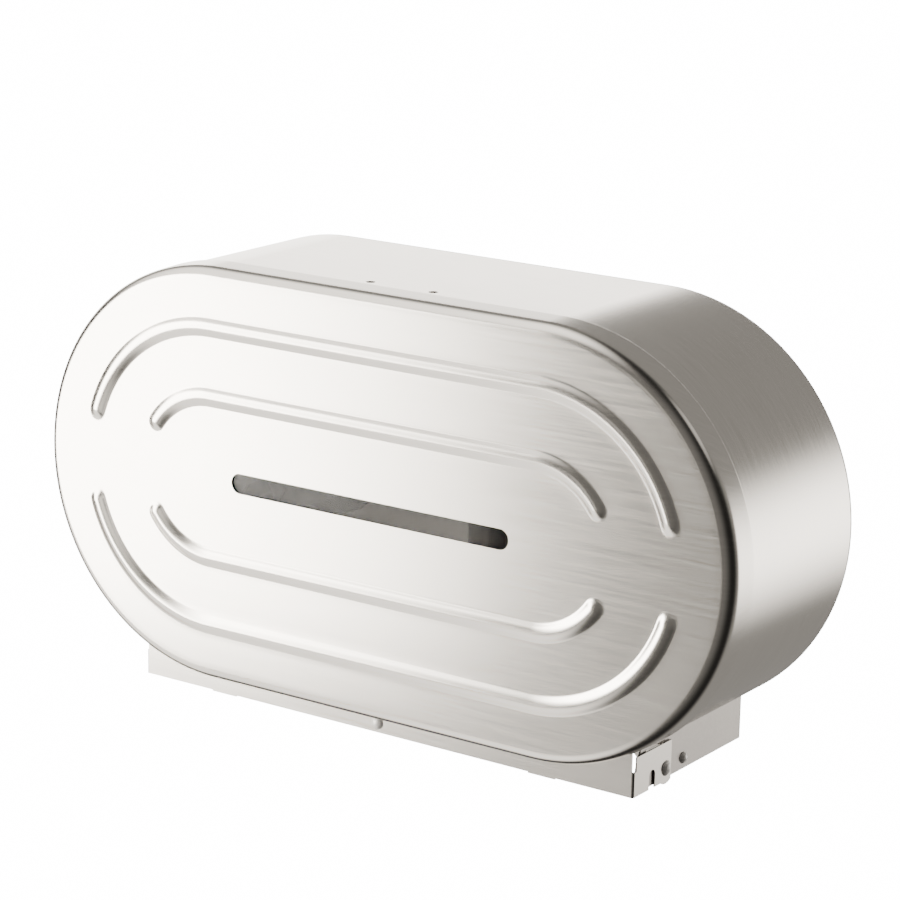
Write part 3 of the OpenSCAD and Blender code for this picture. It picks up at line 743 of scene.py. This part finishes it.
def turned_mesh(name, corners, steps, centre_x=0.0):
    """A closed section turned about a line along y."""
    section = round_loop(corners)
    points, faces = [], []
    for i in range(steps):
        turn = 2 * math.pi * i / steps
        points += [((centre_x + v.x * math.cos(turn)) * MM, -v.y * MM, v.x * math.sin(turn) * MM)
                   for v in section]
    count = len(section)
    for i in range(steps):
        for k in range(count):
            a, b = i * count, ((i + 1) % steps) * count
            faces.append((a + k, b + k, b + (k + 1) % count, a + (k + 1) % count))
    mesh = bpy.data.meshes.new(name)
    mesh.from_pydata(points, [], faces)
    return welded(mesh)


def welded(mesh):
    """Joins points that coincide, drops edges left bare and turns every face outwards."""
    form = bmesh.new()
    form.from_mesh(mesh)
    bmesh.ops.remove_doubles(form, verts=form.verts[:], dist=1e-6)
    bare = [e for e in form.edges if not e.link_faces]
    bmesh.ops.delete(form, geom=bare, context="EDGES")
    bmesh.ops.recalc_face_normals(form, faces=form.faces[:])
    form.to_mesh(mesh)
    form.free()
    return mesh


# ---- Copies set out by geometry nodes ----
def make_set_out_tree():
    """Puts a copy of Form on every point, turned by its own angles, beside the Base."""
    tree = bpy.data.node_groups.new("Set out copies", "GeometryNodeTree")
    socket_kinds = (("Points", "NodeSocketGeometry"), ("Form", "NodeSocketObject"),
                    ("Base", "NodeSocketObject"), ("Finish", "NodeSocketMaterial"))
    for label, kind in socket_kinds:
        tree.interface.new_socket(label, in_out="INPUT", socket_type=kind)
    tree.interface.new_socket("Geometry", in_out="OUTPUT", socket_type="NodeSocketGeometry")
    came, out = tree.nodes.new("NodeGroupInput"), tree.nodes.new("NodeGroupOutput")
    form = put(tree, "GeometryNodeObjectInfo", Object=came.outputs["Form"])
    base = put(tree, "GeometryNodeObjectInfo", Object=came.outputs["Base"])
    angles = put(tree, "GeometryNodeInputNamedAttribute", {"data_type": "FLOAT_VECTOR"},
                 Name="turn")
    turned = put(tree, "FunctionNodeEulerToRotation", Euler=angles.outputs["Attribute"])
    copies = put(tree, "GeometryNodeInstanceOnPoints", Points=came.outputs["Points"],
                 Instance=form.outputs["Geometry"], Rotation=turned.outputs["Rotation"])
    joined = tree.nodes.new("GeometryNodeJoinGeometry")
    tree.links.new(copies.outputs["Instances"], joined.inputs[0])
    tree.links.new(base.outputs["Geometry"], joined.inputs[0])
    real = put(tree, "GeometryNodeRealizeInstances", Geometry=joined.outputs[0])
    dressed = put(tree, "GeometryNodeSetMaterial", Geometry=real.outputs[0],
                  Material=came.outputs["Finish"])
    tree.links.new(dressed.outputs[0], out.inputs[0])
    return tree


SET_OUT = make_set_out_tree()


def set_out(name, form_mesh, places, material, node, replaced, base_mesh=None, sharp=35.0):
    """places are (point in millimetres, angles in degrees)."""
    spots = bpy.data.meshes.new(name)
    spots.from_pydata([tuple(c * MM for c in point) for point, _ in places], [], [])
    turn = spots.attributes.new("turn", "FLOAT_VECTOR", "POINT")
    turn.data.foreach_set("vector", [math.radians(a) for _, angles in places for a in angles])
    if base_mesh is None:
        base_mesh = bpy.data.meshes.new("nothing")
    helpers = [bpy.data.objects.new(label, mesh) for label, mesh in
               (("form", form_mesh), ("base", base_mesh), ("spots", spots))]
    for helper in helpers:
        bpy.context.scene.collection.objects.link(helper)
    form, base, holder = helpers
    nodes_on = holder.modifiers.new("set_out", "NODES")
    nodes_on.node_group = SET_OUT
    given = {"Form": form, "Base": base, "Finish": material}
    for item in SET_OUT.interface.items_tree:
        if item.in_out == "INPUT" and item.name in given:
            nodes_on[item.identifier] = given[item.name]
    seen = holder.evaluated_get(bpy.context.evaluated_depsgraph_get())
    mesh = bpy.data.meshes.new_from_object(seen)
    mesh.name = name
    for helper in helpers:
        bpy.data.objects.remove(helper)
    return finish_piece(name, mesh, material, BODY_OF[node], replaced, sharp)


def rivet_form(head_d, shank_d, grip, head_h=2.4, tail_h=1.2):
    """A rivet along +x: domed head outside x = 0, shank, and a set tail."""
    r, shank, tail = head_d / 2, shank_d / 2, shank_d * 0.7
    ball = (r * r + head_h * head_h) / (2 * head_h)
    full = math.asin(min(1.0, r / ball))
    section = [(ball * math.sin(full * i / 9), head_h - ball + ball * math.cos(full * i / 9))
               for i in range(9)]
    section += [(r * 0.995, 0.10), (r * 0.97, 0.0), (shank, 0.0)]
    if grip:
        section += [(shank, -grip), (tail * 0.96, -grip), (tail, -grip - 0.15),
                    (tail, -grip - tail_h + 0.35), (tail - 0.35, -grip - tail_h)]
    section += [(0.0, section[-1][1])]
    steps = 40
    points, faces = [], []
    for i in range(steps):
        turn = 2 * math.pi * i / steps
        points += [(x * MM, q * math.cos(turn) * MM, q * math.sin(turn) * MM) for q, x in section]
    count = len(section)
    for i in range(steps):
        a, b = i * count, ((i + 1) % steps) * count
        faces += [(a + k, a + k + 1, b + k + 1, b + k) for k in range(count - 1)]
    mesh = bpy.data.meshes.new("rivet")
    mesh.from_pydata(points, [], faces)
    return welded(mesh)


def make_rivets():
    """The rivets of the hinge, the tear bar, the apron and the latch."""
    def pair(x, y):
        return [((side * x, y, PIVOT_Z), (0, 0, 0 if side > 0 else 180)) for side in (1, -1)]

    set_out("hinge_rivets", rivet_form(head_d=10.0, shank_d=6.0, grip=2.5),
            pair(WING_X + RIVET_HEAD_GAP, PIVOT_Y), set_steel, "hinge_rivet_left",
            ["hinge_rivet_left", "hinge_rivet_right"])
    set_out("stop_rivets", rivet_form(head_d=8.0, shank_d=4.0, grip=2.0),
            pair(PLATE_OUT, STOP_Y), set_steel, "tear_bar_rivets", ["tear_bar_rivets"])
    set_out("apron_rivet_formed", rivet_form(head_d=9.0, shank_d=5.0, grip=2.0),
            [((0.0, APRON_Y, APRON_RIVET_Z), (0, 0, -90))], set_steel, "apron_rivet",
            ["apron_rivet"])
    root, spring_seat, spring_top = -DEPTH + 84.0, 22.0, 133.3
    places = [((0.0, root + spring_seat * share, spring_top), (0, 90, 0))
              for share in (0.3, 0.75)]
    set_out("latch_rivets_formed", rivet_form(head_d=6.0, shank_d=3.0, grip=0, head_h=1.6),
            places, bright, "latch_rivets", ["latch_rivets"])


def prism(name, outline, thickness, ease):
    """A flat outline in (x, z), made solid back along +y with its edges eased."""
    form = bmesh.new()
    face = form.faces.new([form.verts.new((x * MM, 0, z * MM)) for x, z in outline])
    grown = bmesh.ops.extrude_face_region(form, geom=[face])
    moved = [v for v in grown["geom"] if isinstance(v, bmesh.types.BMVert)]
    bmesh.ops.translate(form, verts=moved, vec=(0, thickness * MM, 0))
    bmesh.ops.recalc_face_normals(form, faces=form.faces[:])
    bmesh.ops.bevel(form, geom=form.edges[:], offset=ease * MM, segments=2, affect="EDGES",
                    profile=0.5)
    mesh = bpy.data.meshes.new(name)
    form.to_mesh(mesh)
    form.free()
    return mesh


def make_tear_bar():
    """A folded bar with teeth along its lower edge."""
    face_y, foot, top, fold, flange = -75.8, -146.0, -135.5, 7.0, 12.0
    half, corner, tooth_w, tooth_h, root_h, count = PLATE_IN, 0.8, 5.0, 2.5, 0.3, 71
    tall = top - foot

    def fold_bar(u, w):
        side, far = (1 if u > 0 else -1), abs(u)
        out, end_back = square_bend(far - half + corner, corner)
        up, top_back = square_bend(w - tall + corner, corner)
        return (side * (half - corner + out), face_y + end_back + top_back,
                foot + tall - corner + up)

    grown = corner * (math.pi / 2 - 1)
    end_u, top_w = half + flange - corner + grown, tall + fold - corner + grown
    shift = half - corner + corner * math.pi / 2 - corner
    hole_u = shift + (STOP_Y - face_y)
    right = [(half - corner, 0.0), (end_u, 0.0), (end_u, tall - corner - 0.5),
             (half - corner, tall - corner - 0.5), (half - corner - 0.6, tall - corner - 0.5),
             (half - corner - 0.6, top_w)]
    outline = right + [(-u, w) for u, w in reversed(right)]
    holes = [arc((side * hole_u, PIVOT_Z - foot), 2.0, 0, 340, 17) for side in (-1, 1)]
    across = [side * (half - corner + corner * math.pi / 2 * i / 4)
              for i in range(5) for side in (-1, 1)]
    along = [tall - corner + corner * math.pi / 2 * i / 4 for i in range(5)]
    blank = flat_blank(outline, holes, across, along)
    bar = folded_piece("tear_bar_sheet", blank, fold_bar, (0, -1, 0), 1.0, satin, "housing",
                       [], edge=0)
    tooth = prism("tooth", [(0.0, root_h), (0.0, 0.0), (tooth_w / 2, -tooth_h), (tooth_w, 0.0),
                            (tooth_w, root_h)], 1.0, 0.08)
    places = [((tooth_w * (i - count / 2), face_y, foot), (0, 0, 0)) for i in range(count)]
    base, folded = bar.data.copy(), bar.data
    bpy.data.objects.remove(bar)
    bpy.data.meshes.remove(folded)
    piece = set_out("toothed_bar", tooth, places, satin, "tear_bar", ["tear_bar"], base)
    flatten_shading(piece)


def make_hubs():
    """Each hub is a turned shell with six ribs from its bearing tube to its barrel."""
    start, flange_t, end = 17.1, 2.5, 109.1
    rib_long, rib_deep, rib_thick = 25.5, 76.75, 2.4
    rib_middle = (23.25, 56.725)
    shell = [(6.05, start, 0.3), (52.0, start, 0.9), (52.0, start + flange_t, 0.9),
             (38.0, start + flange_t, 1.6), (38.0, end - 7.0, 3.0), (34.5, end, 0.7),
             (32.44, end, 0.5), (35.5, end - 7.0, 1.5), (35.5, start + flange_t, 1.2),
             (11.0, start + flange_t, 1.2), (11.0, end, 0.8), (6.05, end, 0.5)]
    for side, word in ((-1, "left"), (1, "right")):
        form = bmesh.new()
        bmesh.ops.create_cube(form, size=1.0)
        for v in form.verts:
            v.co = Vector((rib_middle[0] + v.co.x * rib_long,
                           -(rib_middle[1] + v.co.y * rib_deep), v.co.z * rib_thick)) * MM
        mesh = bpy.data.meshes.new("rib")
        bmesh.ops.recalc_face_normals(form, faces=form.faces[:])
        bmesh.ops.bevel(form, geom=form.edges[:], offset=0.35 * MM, segments=2, affect="EDGES",
                        profile=0.5)
        form.to_mesh(mesh)
        form.free()
        places = [((side * ROLL_AXIS, 0.0, 0.0), (0, turn, 0)) for turn in range(0, 360, 60)]
        piece = set_out("hub_" + word, mesh, places, black, "roll_hub_" + word,
                        ["roll_hub_" + word],
                        turned_mesh("shell", shell, 96, side * ROLL_AXIS))
        flatten_shading(piece)


def make_spindles():
    """Drawn discs and their steel pins."""
    disc = [(6.0, 14.0, 0.2), (6.0, 15.5, 0.3), (26.0, 15.5, 2.6), (26.0, 2.7, 1.4),
            (45.0, 2.7, 0.3), (45.0, 1.2, 0.3), (24.5, 1.2, 0.6), (24.5, 14.0, 1.1)]
    pin = [(0.0, 11.0, 0.0), (11.0, 11.0, 0.5), (11.0, 14.0, 0.5), (6.0, 14.0, 0.3),
           (6.0, 110.7, 0.6), (4.0, 110.7, 0.3), (4.0, 116.7, 0.8), (0.0, 116.7, 0.0)]
    for side, word in ((-1, "left"), (1, "right")):
        for label, section, material, node in (
                ("disc_", disc, mill, "spindle_base_"), ("pin_", pin, bright, "axle_")):
            mesh = turned_mesh(label + word, section, 96, side * ROLL_AXIS)
            piece = finish_piece(label + word, mesh, material, BODY_OF[node + word],
                                 [node + word])
            flatten_shading(piece)


def make_strips():
    """The strips that are bent from flat: keeper, stiffener and centre channel."""
    bent_strip("keeper_strip", [(-139.0, 137.6), (-128.5, 137.6), (-128.5, 133.6),
                                (-103.0, 133.6)], 1.5, (-15.0, 15.0), 1.2, "x", mill,
               "latch_keeper", (0, 0, 1),
               holes=[[(-9.5, 21.6), (9.5, 21.6), (9.5, 27.6), (-9.5, 27.6)]])
    bent_strip("stiffener_strip", [(-131.4, -139.5), (-131.4, -150.0), (-123.4, -150.0)], 1.6,
               (-30.0, 30.0), 1.0, "x", mill, "apron_stiffener", (0, -1, 0),
               holes=[arc((0.0, 4.9), 2.5, 0, 345, 23)])
    # The centre channel takes the darkened steel: painted shade
    bent_strip("channel_strip", [(-17.0, -2.2), (-9.0, -2.2), (-9.0, -21.2), (9.0, -21.2),
                                 (9.0, -2.2), (17.0, -2.2)], 1.8, (-150.0, 104.0), 1.0, "z",
               painted_shade_steel, "centre_channel", (0, -1, 0))


make_cover_pan()
make_apron()
make_band()
make_rivets()
make_tear_bar()
make_hubs()
make_spindles()
make_strips()
# The side plates take the darkened steel: painted shade
for node in ("side_plate_left", "side_plate_right"):
    eased_copy(node, painted_shade_steel, 0.15)
for node in ("back_plate", "latch_bracket", "lens_rails", "lens_clips"):
    eased_copy(node, mill, 0.15)
for node in ("axle_washers", "axle_nut_left", "axle_nut_right", "hinge_washers"):
    eased_copy(node, bright, 0.12 if node == "hinge_washers" else 0.3)
eased_copy("latch_spring", spring, 0.15)

# ---- Camera ----
AZIMUTH, ELEVATION, ROLL = (math.radians(v) for v in (34.60, 14.80, 1.11))
TARGET = Vector((0.063, -0.148, 0.0498))
DISTANCE = 1.9171
LENS_MM, SENSOR_MM = 125.87, 36.0
back = Vector((
    math.sin(AZIMUTH) * math.cos(ELEVATION),
    -math.cos(AZIMUTH) * math.cos(ELEVATION),
    math.sin(ELEVATION),
))
level = Vector((0, 0, 1)).cross(back).normalized()
upward = back.cross(level)
right = level * math.cos(ROLL) + upward * math.sin(ROLL)
up = upward * math.cos(ROLL) - level * math.sin(ROLL)
camera = bpy.data.objects.new("camera", bpy.data.cameras.new("camera"))
bpy.context.scene.collection.objects.link(camera)
camera.data.sensor_width = SENSOR_MM
camera.data.lens = LENS_MM
camera.data.clip_start = 0.05
camera.data.clip_end = 60.0
camera.matrix_world = Matrix.Translation(TARGET + back * DISTANCE) @ Matrix(
    (right, up, back)).transposed().to_4x4()
bpy.context.scene.camera = camera

# ---- Studio ----
FLOOR_Z = -6.0
PAGE_WHITE = 16.0
WARM = (1.0, 0.95, 0.88, 1.0)


def direction(azimuth, elevation):
    """Azimuth 0 is in front of the cover and 90 to its right, in degrees."""
    a, e = math.radians(azimuth), math.radians(elevation)
    return (math.sin(a) * math.cos(e), -math.cos(a) * math.cos(e), math.sin(e))


def make_floor():
    """A white page under the dispenser, seen by the camera alone."""
    mesh = bpy.data.meshes.new("floor")
    half = 30.0
    mesh.from_pydata([(-half, -half, FLOOR_Z), (half, -half, FLOOR_Z), (half, half, FLOOR_Z),
                      (-half, half, FLOOR_Z)], [], [(0, 1, 2, 3)])
    floor = bpy.data.objects.new("floor", mesh)
    bpy.context.scene.collection.objects.link(floor)
    material, tree = new_tree_material("pale_floor")
    glow = put(tree, "ShaderNodeEmission", Color=(1, 1, 1, 1), Strength=PAGE_WHITE)
    put(tree, "ShaderNodeOutputMaterial", Surface=glow.outputs[0])
    mesh.materials.append(material)
    for ray in ("diffuse", "glossy", "transmission", "shadow"):
        setattr(floor, "visible_" + ray, False)


def softbox(name, place, facing, width, height, glow, spread=180.0):
    """An area light of a given brightness, out of the camera's sight."""
    data = bpy.data.lights.new(name, "AREA")
    data.shape = "RECTANGLE"
    data.size = width
    data.size_y = height
    # An even panel of this radiance gives pi times as much power from each square metre
    data.energy = glow * math.pi * width * height
    data.color = (1.0, 0.95, 0.87)
    data.spread = math.radians(spread)
    lamp = bpy.data.objects.new(name, data)
    bpy.context.scene.collection.objects.link(lamp)
    lamp.location = place
    lamp.rotation_mode = "QUATERNION"
    lamp.rotation_quaternion = (-Vector(facing)).to_track_quat("Z", "Y")
    lamp.visible_camera = False


# Soft patches of the studio's walls: azimuth, elevation, half width, half height, softness, glow
BASE_GLOW = 0.02
PATCHES = (
    (178, 0, 1.15, 1.10, 0.25, 0.29),
    (-3, 2, 0.66, 0.90, 0.75, 0.15),
    (-145, 3, 0.55, 0.22, 0.35, 5.0),
    (157, -8.5, 0.33, 0.235, 0.65, 4.8),
    (-64, 45, 0.55, 0.45, 0.45, 2.6),
    (-55, -42, 0.42, 0.50, 0.35, 2.1),
    (100, 46, 0.26, 0.22, 0.6, 0.7),
)


def make_studio_walls():
    """The world as the metal sees it: dark walls with soft bright patches. The camera itself
    sees a white page."""
    world = bpy.data.worlds.new("studio")
    bpy.context.scene.world = world
    world.use_nodes = True
    tree = world.node_tree
    tree.nodes.clear()
    place = put(tree, "ShaderNodeTexCoord")
    total = BASE_GLOW
    for azimuth, elevation, wide, tall, soft, glow in PATCHES:
        away = put(tree, "ShaderNodeVectorMath", {"operation": "SUBTRACT"},
                   _0=place.outputs["Generated"], _1=direction(azimuth, elevation))
        shrunk = put(tree, "ShaderNodeVectorMath", {"operation": "DIVIDE"},
                     _0=away.outputs[0], _1=(wide, wide, tall))
        far = put(tree, "ShaderNodeVectorMath", {"operation": "LENGTH"}, _0=shrunk.outputs[0])
        patch = put(tree, "ShaderNodeMapRange", {"interpolation_type": "SMOOTHSTEP"},
                    Value=far.outputs["Value"], From_Min=1.0 - soft, From_Max=1.0 + soft,
                    To_Min=glow, To_Max=0.0)
        total = put(tree, "ShaderNodeMath", {"operation": "ADD"},
                    _0=total, _1=patch.outputs[0]).outputs[0]
    ray = put(tree, "ShaderNodeLightPath")
    wall = put(tree, "ShaderNodeBackground", Color=WARM, Strength=total)
    page = put(tree, "ShaderNodeBackground", Color=(1, 1, 1, 1), Strength=PAGE_WHITE)
    seen = put(tree, "ShaderNodeMixShader", _0=ray.outputs["Is Camera Ray"],
               _1=wall.outputs[0], _2=page.outputs[0])
    put(tree, "ShaderNodeOutputWorld", Surface=seen.outputs[0])


make_floor()
for step, shift in enumerate((-0.14, 0.0, 0.14)):
    softbox("front_left_softbox_%d" % step, (-1.60 + 0.97 * shift, -1.15 - 0.24 * shift, 0.055),
            (0.25, 1, 0), 1.5, 1.3, 5.0)
softbox("near_card", (-0.29, -1.15, -0.2), (-0.34, 0.94, 0.15), 0.5, 1.1, 0.5, spread=90.0)
make_studio_walls()
